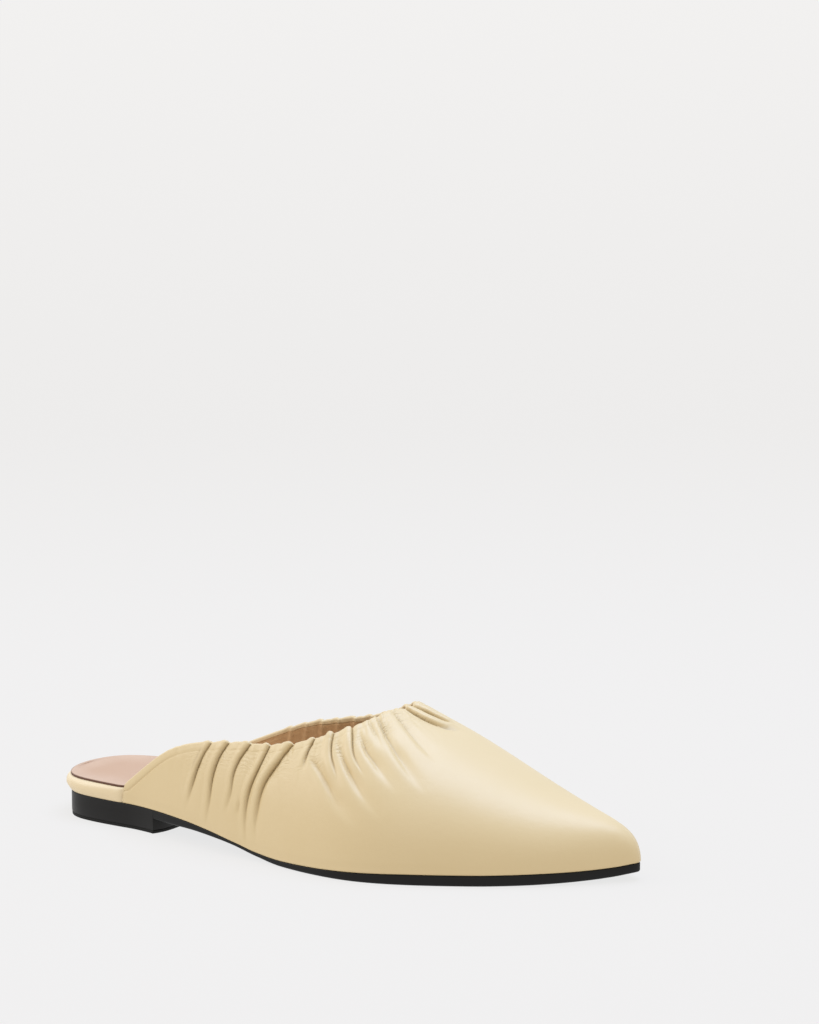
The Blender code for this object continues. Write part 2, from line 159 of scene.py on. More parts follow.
lateralShare = bentLine(turned(plan["station"]), plan["lateral"])
medialShare = bentLine(turned(plan["station"]), plan["medial"])
riseShare = bentLine(turned(ridge["station"]), ridge["rise"])
shiftShare = bentLine(turned(ridge["station"]), ridge["shift"])
heelLift = levelLine(soleLine["station"], soleLine["heel"])
toeLift = levelLine(soleLine["station"], soleLine["toe"])
plateShare = levelLine(plate["station"], plate["thickness"])
featherShare = levelLine(plate["station"], plate["feather"])
bedShare = levelLine(bed["station"], bed["heel"])


# Reach of the outline from the axis: table share times the heel's width at the back and the
# ball's in front.
def reach(station, side):
    wider = last["ballWidth"] - last["heelWidth"]
    width = last["heelWidth"] + wider * smoothStep(station, *last["waist"])
    turn = turned(station)
    share = np.where(np.asarray(side) < 0, lateralShare(turn), medialShare(turn))
    return np.maximum(share, 0) * width


def plateThickness(station):
    return plateShare(station) * last["soleThickness"]


# Height of the plate's lower face: heel seat, waist, flat forepart and toe spring.
def underside(station):
    seat = last["heelHeight"] - plateThickness(0)
    return heelLift(station) * seat + toeLift(station) * last["toeSpring"]


def soleTop(station):
    return underside(station) + plateThickness(station)


def bedTop(station):
    height = last["bedForepart"] + bedShare(station) * (last["bedHeel"] - last["bedForepart"])
    return soleTop(station) + last["fit"] + height


# Skin of the last: a rounded arch from the edge of the sole to the ridge and down again,
# y = ridge + (side - ridge) sin^p, z = sole + rise cos^p of the angle around.
def lastPoint(station, around):
    angle = np.abs(around) * pi / 2
    side = np.sign(around) * reach(station, around)
    ridgeY = shiftShare(turned(station)) * last["ballWidth"]
    y = ridgeY + (side - ridgeY) * np.sin(angle) ** last["sectionPower"]
    rise = np.maximum(riseShare(turned(station)), 0) * last["instepRise"]
    z = soleTop(station) + last["fit"] + rise * np.clip(np.cos(angle), 0, 1) ** last["sectionPower"]
    return np.stack([station * last["length"] + 0 * y, y, z], axis=-1)


# where the solids stand: front of the upper, and lateral side of the sole
fine = np.linspace(0, 1, 4001)
shift = np.array([
    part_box("upper")[1][0] - last["length"],
    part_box("outsole")[0][1] + reach(fine, -1).max() - last["soleInset"],
    0,
])
print("stage: last set up, shift", [round(float(v) * 1000, 2) for v in shift])


def addObject(name, data):
    item = bpy.data.objects.new(name, data)
    bpy.context.scene.collection.objects.link(item)
    return item


def addPiece(name, points, faces, material, nodes):
    mesh = bpy.data.meshes.new(name)
    mesh.from_pydata((points + shift).tolist(), [], faces)
    mesh.update()
    mesh.materials.append(material)
    mesh.shade_smooth()
    item = addObject(name, mesh)
    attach(item, "root")
    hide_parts(*nodes)
    return item


def addAttribute(item, name, values, kind="FLOAT", field="value"):
    layer = item.data.attributes.new(name, kind, "POINT")
    layer.data.foreach_set(field, np.asarray(values, np.float32).ravel())


# Signed volume by the divergence rule, from quads split into two triangles.
def facesOutward(points, quads):
    a, b, c, d = (points[quads[:, k]] for k in range(4))
    volume = np.einsum("ij,ij->i", a, np.cross(b, c)).sum()
    volume += np.einsum("ij,ij->i", a, np.cross(c, d)).sum()
    return volume > 0


# Closed skin from closed loops laid side by side: quads between loops, one cap at each end.
def loopSkin(loops):
    ribs, count = loops.shape[:2]
    rib = np.arange(ribs - 1)[:, None]
    here = np.arange(count)[None, :]
    after = (here + 1) % count
    quads = np.stack([rib * count + here, rib * count + after,
                      (rib + 1) * count + after, (rib + 1) * count + here], axis=-1).reshape(-1, 4)
    points = loops.reshape(-1, 3)
    firstCap = list(range(count))[::-1]
    lastCap = list(range((ribs - 1) * count, ribs * count))
    if not facesOutward(points, quads):
        quads = quads[:, ::-1]
        firstCap, lastCap = firstCap[::-1], lastCap[::-1]
    return points, quads.tolist() + [firstCap, lastCap]


outlineSteps = 170
stripsAcross = 14


# Points of an outline moved inward by the inset, at right angles to the way along it.
def movedIn(flat, along, inset):
    along = along / np.linalg.norm(along, axis=1, keepdims=True)
    inward = np.stack([-along[:, 1], along[:, 0]], axis=-1)
    return flat + inward * np.reshape(inset, (-1, 1))


# Closed outline seen from above, moved inward by the inset.
# The angle runs from the back over the lateral side to the toe and back over the medial side.
def outline(inset, steps=outlineSteps):
    angle = np.linspace(0, 2 * pi, 2 * steps, endpoint=False)

    def edge(a):
        station = (1 - np.cos(a)) / 2
        side = -np.sign(np.sin(a))
        return np.stack([station * last["length"], side * reach(station, side)], axis=-1)
    nudge = 0.002
    return movedIn(edge(angle), edge(angle + nudge) - edge(angle - nudge), inset)


outlineStation = (1 - np.cos(np.linspace(0, 2 * pi, 2 * outlineSteps, endpoint=False))) / 2


def ringAt(inset, height):
    flat = outline(inset)
    return np.column_stack([flat, height + 0 * flat[:, 0]])


# Rows across a ring, between its two sides, at a height given for each station and share across.
def rowsAcross(ring, height):
    half = len(ring) // 2
    row = np.arange(1, half)
    share = (np.arange(1, stripsAcross) / stripsAcross)[None, :, None]
    across = ring[row][:, None] + (ring[-row] - ring[row])[:, None] * share
    across[..., 2] = height(across[..., 0] / last["length"], share[..., 0])
    return across.reshape(-1, 3)


def acrossFaces(first, count, base, down):
    half = count // 2
    inner = stripsAcross - 1
    row, column = np.meshgrid(np.arange(half + 1), np.arange(stripsAcross + 1), indexing="ij")
    index = base + (row - 1) * inner + column - 1
    index = np.where(column == stripsAcross, first + (count - row) % count, index)
    index = np.where((column == 0) | (row == 0) | (row == half), first + row, index)
    quads = np.stack([index[:-1, :-1], index[1:, :-1], index[1:, 1:], index[:-1, 1:]], axis=-1)
    quads = quads.reshape(-1, 4)
    if down:
        quads = quads[:, ::-1]
    faces = []
    for quad in quads.tolist():
        corners = list(dict.fromkeys(quad))
        if len(corners) > 2:
            faces.append(corners)
    return faces


# Slab: its side is a stack of rings, its lower and upper face are rows across the outer rings.
def slab(rings, bottom, top):
    count = len(rings[0])
    edge = np.concatenate(rings)
    i = np.arange(count)
    j = (i + 1) % count
    faces = []
    for level in range(len(rings) - 1):
        low = level * count
        faces += np.stack([low + i, low + j, low + count + j, low + count + i], axis=-1).tolist()
    lowPoints = rowsAcross(rings[0], bottom)
    highPoints = rowsAcross(rings[-1], top)
    faces += acrossFaces(0, count, len(edge), True)
    faces += acrossFaces((len(rings) - 1) * count, count, len(edge) + len(lowPoints), False)
    return np.concatenate([edge, lowPoints, highPoints]), faces


# Value noise: random heights on a square lattice, blended with 3t^2 - 2t^3 both ways.
def softNoise(x, y, seed):
    heights = np.random.default_rng(seed).uniform(-1, 1, (257, 257))
    i, j = np.floor(x).astype(int), np.floor(y).astype(int)
    s, t = x - i, y - j
    s, t = s * s * (3 - 2 * s), t * t * (3 - 2 * t)
    i, j = i % 256, j % 256
    low = heights[i, j] + (heights[i + 1, j] - heights[i, j]) * s
    high = heights[i, j + 1] + (heights[i + 1, j + 1] - heights[i, j + 1]) * s
    return low + (high - low) * t


def linear(code):
    parts = np.array([int(code[k:k + 2], 16) for k in (1, 3, 5)]) / 255
    return (*np.where(parts <= 0.04045, parts / 12.92, ((parts + 0.055) / 1.055) ** 2.4), 1)


# One node with its settings, by input name or place, and its links.
def addNode(tree, kind, settings, links=()):
    node = tree.nodes.new("ShaderNode" + kind)
    for key, value in settings.items():
        if isinstance(key, str) and hasattr(node, key):
            setattr(node, key, value)
        else:
            node.inputs[key].default_value = value
    for key, source in links:
        tree.links.new(source, node.inputs[key])
    return node


def newMaterial(name):
    material = bpy.data.materials.new(name)
    material.use_nodes = True
    tree = material.node_tree
    return material, tree, tree.nodes["Principled BSDF"]


def setSurface(surface, settings):
    for key, value in settings.items():
        surface.inputs[key].default_value = value


def noiseOf(size, detail, roughness):
    return {"Scale": 1 / size, "Detail": detail, "Roughness": roughness}


# Ground of every leather and plastic here: two tones mixed by soft patches. Gives the place
# in the object, the patches and the tone.
def patchyGround(tree, patches, light, dark):
    place = addNode(tree, "TexCoord", {}).outputs["Object"]
    cloud = addNode(tree, "TexNoise", noiseOf(*patches), [("Vector", place)])
    tone = addNode(tree, "Mix",
                   {"data_type": "RGBA", 6: linear(light), 7: linear(dark)},
                   [(0, cloud.outputs["Fac"])])
    return place, cloud.outputs["Fac"], tone.outputs[2]


# A further tone over the ground where an attribute of the piece says so.
def tonedBy(tree, attribute, below, code):
    where = addNode(tree, "Attribute", {"attribute_name": attribute})
    mixed = addNode(tree, "Mix", {"data_type": "RGBA", 7: linear(code)},
                    [(0, where.outputs["Fac"]), (6, below)])
    return mixed.outputs[2]


def grainBump(tree, surface, place, grain, strength, depth):
    pattern = addNode(tree, "TexNoise", noiseOf(*grain), [("Vector", place)])
    bump = addNode(tree, "Bump", {"Strength": strength, "Distance": depth},
                   [("Height", pattern.outputs["Fac"])])
    tree.links.new(bump.outputs["Normal"], surface.inputs["Normal"])


# Patches and grains of every material: size, detail and roughness of their noise.
nappa = {
    "lit": "#E4D0A6",
    "mottled": "#DFCA9D",
    # painted shade: the darker tone laid along the creases' lines
    "creaseShadeTone": "#86672C",
    "randLit": "#EEDDBA",  # the rand's narrow strip, skived thin and stretched, looks paler
    "randMottled": "#EAD7B1",
    "patches": (28 * mm, 2.0, .5),
    "roughness": (.43 - .04, .43 + .06),
    "finish": {"IOR": 1.45, "Specular IOR Level": .75},
    "grain": .55 * mm,  # pores of a fine nappa, and their share of the relief
    "grainShare": .12,
    "pebble": (2.6 * mm, 3.0, .55),  # soft unevenness of the drawn leather
    "relief": (.22, .35 * mm),  # strength and depth
    "puckerStep": .9 * mm,  # small wrinkles across the gathers
    "puckerLength": 3.6 * mm,
    "puckerDepth": 1.1 * mm,
}


# Nappa, drum dyed and lightly finished: a soft even butter colour with a low broad sheen,
# fine pores, and painted shade, a darker tone laid in where the leather is folded in.
def makeNappa(name, lit, mottled):
    material, tree, surface = newMaterial(name)
    place, _, tone = patchyGround(tree, nappa["patches"], lit, mottled)
    # painted shade: the creases' lines darken the base colour
    tree.links.new(tonedBy(tree, "paintedCreaseShade", tone, nappa["creaseShadeTone"]), surface.inputs["Base Color"])
    pores = addNode(tree, "TexVoronoi", {"Scale": 1 / nappa["grain"]}, [("Vector", place)])
    pebble = addNode(tree, "TexNoise", noiseOf(*nappa["pebble"]), [("Vector", place)])
    height = addNode(tree, "Math", {"operation": "MULTIPLY_ADD", 1: nappa["grainShare"]},
                     [(0, pores.outputs["Distance"]), (2, pebble.outputs["Fac"])])
    strength, depth = nappa["relief"]
    bump = addNode(tree, "Bump", {"Strength": strength, "Distance": depth},
                   [("Height", height.outputs[0])])
    skinMap = addNode(tree, "Attribute", {"attribute_name": "skinMap"})
    stretched = addNode(tree, "Mapping",
                        {"Scale": (1 / nappa["puckerLength"], 1 / nappa["puckerStep"], 1)},
                        [("Vector", skinMap.outputs["Vector"])])
    wrinkles = addNode(tree, "TexNoise", {**noiseOf(1, 2.0, .5), "Distortion": .4},
                       [("Vector", stretched.outputs[0])])
    pucker = addNode(tree, "Attribute", {"attribute_name": "pucker"})
    wrinkled = addNode(tree, "Bump", {"Distance": nappa["puckerDepth"]},
                       [("Strength", pucker.outputs["Fac"]), ("Height", wrinkles.outputs["Fac"]),
                        ("Normal", bump.outputs["Normal"])])
    tree.links.new(wrinkled.outputs["Normal"], surface.inputs["Normal"])
    smoothest, roughest = nappa["roughness"]
    rough = addNode(tree, "MapRange", {3: smoothest, 4: roughest},
                    [(0, pebble.outputs["Fac"])])
    tree.links.new(rough.outputs[0], surface.inputs["Roughness"])
    setSurface(surface, nappa["finish"])
    return material


# Pig lining leather, aniline dyed: matte tan with open grain.
lining = {
    "light": "#CFAE82",
    "dark": "#B99265",
    "edgeToneAndShade": {},
    "patches": (3.5 * mm, 4.0, .6),
    "grain": (1.1 * mm, 4.0, .65),
    "relief": (.55, .5 * mm),
    "finish": {"Roughness": .72, "Specular IOR Level": .3},
}
# Sheep sock leather, lightly finished: pale pink beige with a soft sheen and a darker brown
# edge, and painted shade that makes it a little browner in the middle.
sockLook = {
    "light": "#D5B8A0",
    "dark": "#C9A88D",
    # painted shade in the sock's middle, and a darker brown edge
    "edgeToneAndShade": {"middle": "#BE9676", "darkEdge": "#5C3A2A"},
    "patches": (16 * mm, 3.0, .55),
    "grain": (.8 * mm, 3.0, .6),
    "relief": (.18, .3 * mm),
    "finish": {"Roughness": .5, "Specular IOR Level": .4},
}


# Leather of the lining or of the sock: patchy ground, further tones laid over it, on the sock
# a darker brown edge and painted shade in its middle, and a grain.
def makeLeather(name, look):
    material, tree, surface = newMaterial(name)
    place, _, tone = patchyGround(tree, look["patches"], look["light"], look["dark"])
    for attribute, code in look["edgeToneAndShade"].items():
        tone = tonedBy(tree, attribute, tone, code)
    tree.links.new(tone, surface.inputs["Base Color"])
    grainBump(tree, surface, place, look["grain"], *look["relief"])
    setSurface(surface, look["finish"])
    return material


soleLook = {
    # tone, scuffed tone and roughness of the plate, of the heel and of its top piece
    "plate": ("#080808", "#100F0F", .42),
    "heel": ("#100F0F", "#181716", .42),
    "topPiece": ("#181716", "#080808", .62),
    "smoother": .05,
    "rougher": .08,
    "patches": (9 * mm, 4.0, .6),
    "grain": (1.2 * mm, 3.0, .6),
    "relief": (.12, .2 * mm),
    "finish": {"IOR": 1.5, "Specular IOR Level": .26},
}


# Thermoplastic polyurethane, injection moulded: near black satin with a faint moulded texture.
def makeSolePlastic(name, dark, scuffed, roughness):
    material, tree, surface = newMaterial(name)
    place, cloud, tone = patchyGround(tree, soleLook["patches"], dark, scuffed)
    tree.links.new(tone, surface.inputs["Base Color"])
    grainBump(tree, surface, place, soleLook["grain"], *soleLook["relief"])
    rough = addNode(tree, "MapRange",
                    {3: roughness - soleLook["smoother"], 4: roughness + soleLook["rougher"]},
                    [(0, cloud)])
    tree.links.new(rough.outputs[0], surface.inputs["Roughness"])
    setSurface(surface, soleLook["finish"])
    return material


butterNappa = makeNappa("butterNappa", nappa["lit"], nappa["mottled"])
randNappa = makeNappa("skivedButterNappa", nappa["randLit"], nappa["randMottled"])
tanLining = makeLeather("tanLiningLeather", lining)
pinkSock = makeLeather("pinkSockLeather", sockLook)
solePlastic = makeSolePlastic("blackSolePolyurethane", *soleLook["plate"])
heelPlastic = makeSolePlastic("blackHeelPolyurethane", *soleLook["heel"])
topPieceRubber = makeSolePlastic("blackTopPieceRubber", *soleLook["topPiece"])
print("stage: materials made")

upperLook = {
    "ribs": 640,
    "lateralBack": .153,  # stations where the upper ends at the sole
    "medialBack": .188,
    "leather": .5 * mm,  # thickness of the outer skin
    "rim": .8 * mm,  # radius of the rolled collar
    "innerInset": 1.65 * mm,  # the turned-in leather inside, and its share of the folds
    "innerFollow": .55,
    "hemSide": 1.0 * mm,  # how far the turned-in leather goes down inside
    "hemThroat": 1.4 * mm,  # and how much more of it there is at the throat
    "lastedRound": .9 * mm,  # radius where the skin curls in on top of the sole
    "fullness": .3 * mm,
    "fullBehind": (.70, .88),  # stations where the fullness fades towards the toe
    "loose": (1.2 * mm, 5 * mm), # heights over the sole where folds begin and are at full depth
    "grooveBelow": 2.8 * mm,  # sewn channel of the elastic below the collar
    "grooveDepth": .34 * mm,
    "grooveWidth": .36 * mm,
    "channelPuff": .20 * mm,
    "sewnLess": (.7, 20 * mm, 44 * mm),  # the channel is flatter ahead of the back ends
    "pucker": .27 * mm,  # small wrinkles that run down from the collar
    "puckerSteps": ((2.1 * mm, 9 * mm), (1.15 * mm, 5 * mm)),  # along and down, coarse and fine
    "puckerDown": 13 * mm,
    "puckerZone": (20 * mm, 42 * mm),  # from the back ends
    "scallop": .48 * mm,
    "quarterGirth": 1.57,
}
fan = {
    "edge": (0, .20, .40, .60, .80, 1),
    "collar": (0, .33, .60, .79, .92, 1),
}
# Gathers, lateral side first. Each row holds the stations and the places around of a
# crease from the collar outward, then in millimetres its depth, the height of the roll behind
# it, and its half widths behind and in front; then the shares of its way where it is fully in
# and where it starts to fade, the growth of its width, the roll's side and the tone of its line.
# The tone of a crease's line is painted shade, laid darker into the leather along it.
creases = (
    ((.340, .325, .314, .306, .298), (-.685, -.757, -.829, -.895, -.956),
     1.0, .7, .8, 2.0, 0, .55, .2, 1, 1),
    ((.324, .315, .307, .301), (-.710, -.764, -.817, -.866),
     .30, .15, .5, .8, .2, .5, .2, 1, .4),
    ((.375, .358, .349, .346, .340), (-.653, -.742, -.827, -.912, -.996),
     1.2, .8, .9, 2.2, 0, .50, .3, 1, 1),
    ((.418, .403, .393, .391, .386), (-.619, -.697, -.773, -.845, -.914),
     1.0, .65, .8, 2.0, 0, .50, .3, 1, 1),
    ((.453, .442, .428, .423, .427), (-.584, -.695, -.797, -.900, -.996),
     1.2, .8, .8, 2.2, 0, .50, .2, 1, 1),
    ((.496, .476, .455, .446, .446), (-.536, -.650, -.757, -.862, -.960),
     1.5, 1.0, 1.0, 3.6, 0, .55, .25, 1, 1),
    ((.531, .528, .526, .525, .527), (-.483, -.524, -.565, -.604, -.640),
     .9, .6, .7, 2.0, 0, .60, .3, 1, 1),
    ((.538, .561, .581, .601, .634), (-.593, -.640, -.692, -.742, -.803),
     1.5, .3, 1.6, 2.7, .2, .50, .7, 1, .26),
    ((.557, .562, .572, .585, .597), (-.432, -.501, -.562, -.611, -.658),
     .9, .8, .9, 2.0, 0, .35, 1.0, 1, .9),
    ((.570, .590, .612, .634, .668), (-.462, -.537, -.602, -.661, -.736),
     1.5, .3, 1.6, 2.7, .3, .50, .6, 1, .30),
    ((.578, .590, .602, .619, .636), (-.353, -.428, -.494, -.542, -.586),
     .9, .8, .9, 2.0, 0, .35, 1.0, 1, .7),
    ((.600, .616, .634, .653, .682), (-.378, -.438, -.477, -.521, -.583),
     1.35, .3, 1.5, 2.6, .25, .50, .6, 1, .32),
    ((.597, .612, .629, .642), (-.277, -.320, -.359, -.388),
     .5, .3, 1.2, 2.2, .15, .35, .8, 1, .15),
    ((.601, .627, .651, .678, .716), (-.220, -.296, -.360, -.432, -.528),
     1.35, .35, 1.4, 2.6, .2, .55, .6, 1, .34),
    ((.609, .636, .662, .688, .716), (-.129, -.180, -.228, -.275, -.318),
     .9, .3, 1.4, 2.6, .15, .50, .5, 1, .20),
    ((.610, .633, .653, .672, .690), (-.052, -.055, -.054, -.038, -.008),
     1.7, .9, 1.0, 2.2, 0, .85, .2, -1, 1),
    ((.613, .629, .644, .661, .677), (-.012, -.006, .004, .014, .020),
     1.4, .8, .9, 1.6, 0, .85, .2, -1, 1),
    ((.391, .387, .384), (-.830, -.878, -.922),
     .25, .1, .7, 1.0, .4, .6, .2, 1, .2),
    ((.411, .409, .405), (-.847, -.884, -.922),
     .30, .1, .7, 1.0, .4, .6, .2, 1, .3),
    # medial side
    ((.360, .352, .345), (.71, .82, .93),
     .9, .7, 1.0, 2.6, 0, .50, .4, -1, 1),
    ((.390, .383, .378), (.675, .78, .86),
     .7, .5, .8, 2.0, 0, .40, .5, -1, .8),
    ((.420, .412, .408), (.64, .80, .94),
     1.0, .8, 1.0, 2.6, 0, .60, .4, -1, 1),
    ((.450, .444, .440), (.605, .72, .82),
     .7, .5, .8, 2.0, 0, .40, .5, -1, .8),
    ((.480, .474, .474), (.57, .74, .90),
     1.0, .9, 1.0, 2.6, 0, .55, .4, -1, 1),
    ((.510, .512, .518), (.52, .64, .75),
     .8, .6, .9, 2.2, 0, .40, .6, -1, .8),
    ((.535, .552, .575), (.47, .60, .72),
     .9, .8, 1.0, 2.6, 0, .45, .9, -1, .9),
    ((.556, .575, .602), (.41, .51, .60),
     .7, .5, .9, 2.2, 0, .35, .9, -1, .5),
    ((.575, .605, .645), (.34, .43, .50),
     .9, .7, 1.1, 2.6, 0, .45, .9, -1, .6),
    ((.595, .628, .668), (.25, .32, .37),
     .7, .5, 1.0, 2.4, 0, .35, 1.0, -1, .3),
    ((.607, .632, .665), (.16, .20, .22),
     .7, .5, .9, 2.0, 0, .35, 1.0, -1, .4),
)
# Section of a fold, in shares of its half widths and heights where no unit is named.
foldShape = {
    "before": (-10 * mm, -6 * mm),  # a fold starts this far beyond the collar
    "end": 1.08,
    "softFrom": .15,  # folds that come in this late are soft valleys, wide throughout
    "narrow": {False: (.42, .32), True: (.60, .32)},  # by soft: inner part behind and in front
    "wide": {False: .60, True: .95},  # outer part behind
    "sharp": .62,  # share of the inner part
    "softSharp": (.30, .25, .80),  # the same in a soft valley, and where it fades
    "uneven": .25,
    "second": (.12, 3.6, .8),  # depth, place and width of the trough behind the roll
    "roll": (.8, 1.7, 1.45),  # height, place and width of the roll
    "lean": (.8, .75, .85),  # the same for the roll's push over its crease
    # painted shade along each crease: a dark line laid into the leather's colour
    "line": (.2 * mm, .50 * mm, .5),  # dark line: place, half width and its growth
    "lineFade": (.55, .35, .9),
    "scallopReach": 5 * mm,
    "scallopHigh": (1.6 * mm, 1.5 * mm), # place and half width of the collar's rise and dip
    "scallopLow": (.8 * mm, 1.2 * mm),
    "medialScallop": .35,
}


# Share of the way along a line of points on the last, by the length walked.
def walkedShare(points):
    walked = np.concatenate([[0], np.cumsum(np.linalg.norm(np.diff(points, axis=0), axis=1))])
    return walked / walked[-1], walked[-1]


def edgeLine(backEnd, side):
    station = backEnd + (1 - backEnd) * np.sin(np.linspace(0, pi / 2, 600))
    share, _ = walkedShare(lastPoint(station, side + 0 * station))
    return lambda s: np.interp(s, share, station)


knotShare, _ = walkedShare(lastPoint(np.array(collar["station"]), np.array(collar["around"])))
collarStationAt = bentLine(knotShare, collar["station"])
collarAroundAt = bentLine(knotShare, collar["around"])
fineShare = np.linspace(0, 1, 2001)
throatShare = fineShare[np.argmin(np.abs(collarAroundAt(fineShare)))]
fanLine = levelLine(fan["edge"], fan["collar"])
lateralEdge = edgeLine(upperLook["lateralBack"], -1)
medialEdge = edgeLine(upperLook["medialBack"], 1)


# Foot and head of each rib: the foot walks the sole's edge, the head walks the collar, both
# from the lateral back end (-1) over the toe and throat (0) to the medial back end (1).
def ribEnds(way):
    away = np.abs(way)
    foot = np.where(way < 0, lateralEdge(1 - away), medialEdge(1 - away))
    headWay = np.sign(way) * (1 - fanLine(1 - away))
    share = np.where(headWay < 0, throatShare * (1 + headWay),
                     throatShare + (1 - throatShare) * headWay)
    return foot, collarStationAt(share), collarAroundAt(share)


def bothReach(station):
    return reach(station, -1) + reach(station, 1)


# Point of the fan at a climb from 0 at the sole to 1 at the collar: straight in station and in
# around times width. Near the toe the climb is crowded towards the sole.
def fanPoint(way, climb):
    foot, headStation, headAround = ribEnds(way)
    crowd = 1 + np.exp(-(way / .30) ** 2)
    climb = climb ** crowd[:, None]
    station = foot[:, None] + (headStation - foot)[:, None] * climb
    footOffset = np.sign(way) * bothReach(foot)
    headOffset = headAround * bothReach(headStation)
    offset = footOffset[:, None] + (headOffset - footOffset)[:, None] * climb
    around = offset / np.maximum(bothReach(station), last["fit"])
    return station, np.clip(around, -1, 1)


# Rib ways spaced evenly in a mix of the steps along the sole's edge and along the collar.
def evenWays(count):
    way = np.linspace(-1, 1, 3001)
    foot, headStation, headAround = ribEnds(way)
    footStep = np.linalg.norm(np.diff(lastPoint(foot, np.where(way < 0, -1.0, 1.0)), axis=0), axis=1)
    headStep = np.linalg.norm(np.diff(lastPoint(headStation, headAround), axis=0), axis=1)
    gathered = 1 + 1.6 * np.exp(-((way[1:] + .38) / .30) ** 2)
    cost = np.concatenate([[0], np.cumsum((.35 * np.minimum(footStep, 3 * mm) + headStep) * gathered)])
    return np.interp(np.linspace(0, cost[-1], count), cost, way)


# Flattened place of a skin point in metres: length along, and around times the quarter girth.
def flatPlace(station, around):
    rise = np.maximum(riseShare(turned(station)), 0) * last["instepRise"]
    quarter = upperLook["quarterGirth"] * np.sqrt((reach(station, around) ** 2 + rise ** 2) / 2)
    return station * last["length"], around * quarter


def creasePath(stations, arounds, count=70):
    t = np.linspace(0, 1, count)
    knots = np.linspace(0, 1, len(stations))
    return np.stack(flatPlace(bentLine(knots, stations)(t), bentLine(knots, arounds)(t)), axis=-1)


# Signed distance from a path, its share along, by the frame of the nearest path point.
def pathPlace(x, y, path):
    span = np.linalg.norm(np.diff(path, axis=0), axis=1).mean()
    tangent = np.gradient(path, axis=0)
    tangent /= np.linalg.norm(tangent, axis=1, keepdims=True)
    nearest = np.zeros(x.shape, int)
    best = np.full(x.shape, 1e9)
    for k, point in enumerate(path):
        away = (x - point[0]) ** 2 + (y - point[1]) ** 2
        closer = away < best
        best[closer] = away[closer]
        nearest[closer] = k
    dx, dy = x - path[nearest, 0], y - path[nearest, 1]
    tx, ty = tangent[nearest, 0], tangent[nearest, 1]
    aside = -ty * dx + tx * dy
    along = (nearest + (tx * dx + ty * dy) / span) / (len(path) - 1)
    return aside, along


# Height of the gathers: each is a trough, narrow behind and wide in front, with a round roll
# behind it; all are bell curves exp(-(distance / half width)^2) of the distance from the path.
# Also gives the push of the roll over its crease, how strongly a point gets the painted shade
# of the crease's dark line, and the scallops of the collar.
def gathers(station, around):
    x, y = flatPlace(station, around)
    relief = np.zeros(x.shape)
    push = np.zeros(x.shape)
    creaseShadeMask = np.zeros(x.shape)
    scallop = np.zeros(x.shape)

    def bell(distance, width):
        return np.exp(-(distance / width) ** 2)
    for number, row in enumerate(creases):
        stations, arounds, depth, roll, behind, front, comesIn, fade, spread, side, line = row
        path = creasePath(stations, arounds)
        pathLength = np.linalg.norm(np.diff(path, axis=0), axis=1).sum()
        aside, along = pathPlace(x, y, path)
        aside = aside * side
        there = np.clip(along, 0, 1.2)
        grown = (1 + spread * there) * mm
        before = along * pathLength
        strength = 1 - smoothStep(along, fade, foldShape["end"])
        strength = strength * smoothStep(before, *foldShape["before"])
        if comesIn > 0:
            strength = strength * smoothStep(along, -.1, comesIn)
        soft = comesIn >= foldShape["softFrom"]
        narrowBehind, narrowFront = foldShape["narrow"][soft]
        isBehind = aside < 0
        narrowWidth = np.where(isBehind, narrowBehind * behind, narrowFront * front) * grown
        wideWidth = np.where(isBehind, foldShape["wide"][soft] * behind, front) * grown
        sharp = foldShape["sharp"]
        if soft:
            sharp, *fades = foldShape["softSharp"]
            sharp = sharp * (1 - smoothStep(along, *fades))
        uneven = 1 + foldShape["uneven"] * softNoise(along * 5 + number, 0 * along + .5, 3)
        trough = sharp * bell(aside, narrowWidth) + (1 - sharp) * bell(aside, wideWidth)
        if not soft:
            deep, at, width = foldShape["second"]
            trough += deep * bell(aside + at * behind * grown, width * behind * grown)
        high, at, width = foldShape["roll"]
        bulge = bell(aside + at * behind * grown, width * behind * grown)
        relief += strength * uneven * mm * (high * roll * bulge - depth * trough)
        far, at, width = foldShape["lean"]
        over = bell(aside + at * behind * grown, width * behind * grown)
        push += side * strength * far * min(roll, depth) * mm * over
        # painted shade: a dark line along the crease, for the leather's colour
        at, width, growth = foldShape["line"]
        narrow = bell(aside - at, width * (1 + growth * there))
        less, *fades = foldShape["lineFade"]
        shown = strength * line * narrow * (1 - less * smoothStep(along, *fades))
        creaseShadeMask = np.maximum(creaseShadeMask, shown)
        highAt, highWidth = foldShape["scallopHigh"]
        lowAt, lowWidth = foldShape["scallopLow"]
        edge = bell(aside + highAt, highWidth) - bell(aside - lowAt, lowWidth)
        share = (comesIn == 0) * (foldShape["medialScallop"] if side < 0 else 1)
        scallop += bell(before, foldShape["scallopReach"]) * edge * min(depth, 1) * share
    return relief, push, creaseShadeMask, scallop


def rowNormals(points):
    return unit(np.cross(np.gradient(points, axis=0), np.gradient(points, axis=1)))


# Unit vectors, with the length kept off zero.
def unit(vectors):
    return vectors / np.maximum(np.linalg.norm(vectors, axis=-1, keepdims=True), 1e-12)


